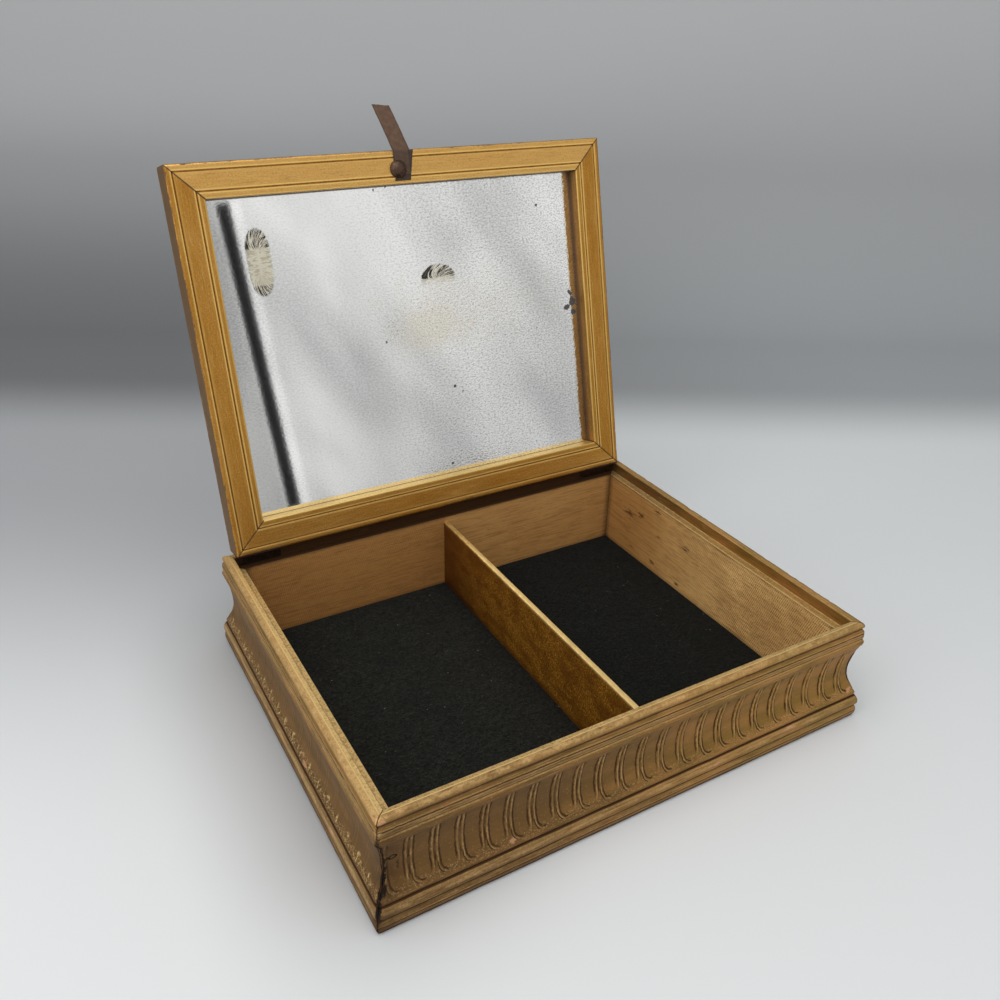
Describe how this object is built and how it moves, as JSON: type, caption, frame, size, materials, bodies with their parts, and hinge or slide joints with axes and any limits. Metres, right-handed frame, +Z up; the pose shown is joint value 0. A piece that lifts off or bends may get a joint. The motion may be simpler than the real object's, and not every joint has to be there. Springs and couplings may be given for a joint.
{
  "type": "vanity box with mirror lid",
  "caption": "Shallow gilt wooden vanity box with a mirror in its hinged lid, felt-lined compartments and a ribbon pull.",
  "frame": {"origin": "centre of the box's footprint, on the surface that it stands on", "axes": "+X to the right along the hinge axis, +Y from the front towards the hinges, +Z up"},
  "size_m": [0.2776, 0.274, 0.286],
  "materials": {
    "gilt_moulding": "worn gilt over gesso",
    "gilt_lid": "gold paint, rubbed",
    "gilt_divider": "gold paint",
    "plywood": "varnished",
    "felt": "matt black felt",
    "mirror": "aged silvering",
    "card": "grey-brown card",
    "dark_iron": "dark bronzed",
    "nail_steel": "plain wire",
    "ribbon": "brown grosgrain"
  },
  "bodies": {
    "box": {"rail_front": "gilt_moulding", "rail_back": "gilt_moulding", "rail_left": "gilt_moulding", "rail_right": "gilt_moulding", "base_board": "plywood", "felt_left": "felt", "felt_right": "felt", "divider": "gilt_divider", "nails_front_left": "nail_steel", "nails_front_right": "nail_steel", "nails_back_left": "nail_steel", "nails_back_right": "nail_steel", "board_nails": "nail_steel", "hinge_left_box_leaf": "dark_iron", "hinge_right_box_leaf": "dark_iron", "hinge_left_pin": "dark_iron", "hinge_right_pin": "dark_iron", "hinge_left_box_screws": "dark_iron", "hinge_right_box_screws": "dark_iron"},
    "lid": {"lid_rail_front": "gilt_lid", "lid_rail_back": "gilt_lid", "lid_rail_left": "gilt_lid", "lid_rail_right": "gilt_lid", "mirror_glass": "mirror", "mirror_card": "card", "lid_panel": "gilt_lid", "lid_nails_front_left": "nail_steel", "lid_nails_front_right": "nail_steel", "lid_nails_back_left": "nail_steel", "lid_nails_back_right": "nail_steel", "hinge_left_lid_leaf": "dark_iron", "hinge_right_lid_leaf": "dark_iron", "hinge_left_lid_screws": "dark_iron", "hinge_right_lid_screws": "dark_iron", "pull_tack": "dark_iron", "ribbon_fold": "ribbon"},
    "ribbon_end": {"pull_tab": "ribbon"}
  },
  "joints": [
    {"name": "lid_hinge", "type": "hinge", "parent": "box", "child": "lid", "pos_m": [0, 0.1032, 0.06039], "axis": [1, 0, 0], "range_deg": [0, 103.5]},
    {"name": "ribbon_fold_joint", "type": "hinge", "parent": "lid", "child": "ribbon_end", "pos_m": [0, 0.14493, 0.26202], "axis": [1, 0, 0], "range_deg": [-90.5, 0]}
  ],
  "couplings": [
    {"joint": "ribbon_fold_joint", "follows": "lid_hinge", "ratio": -0.8695}
  ]
}
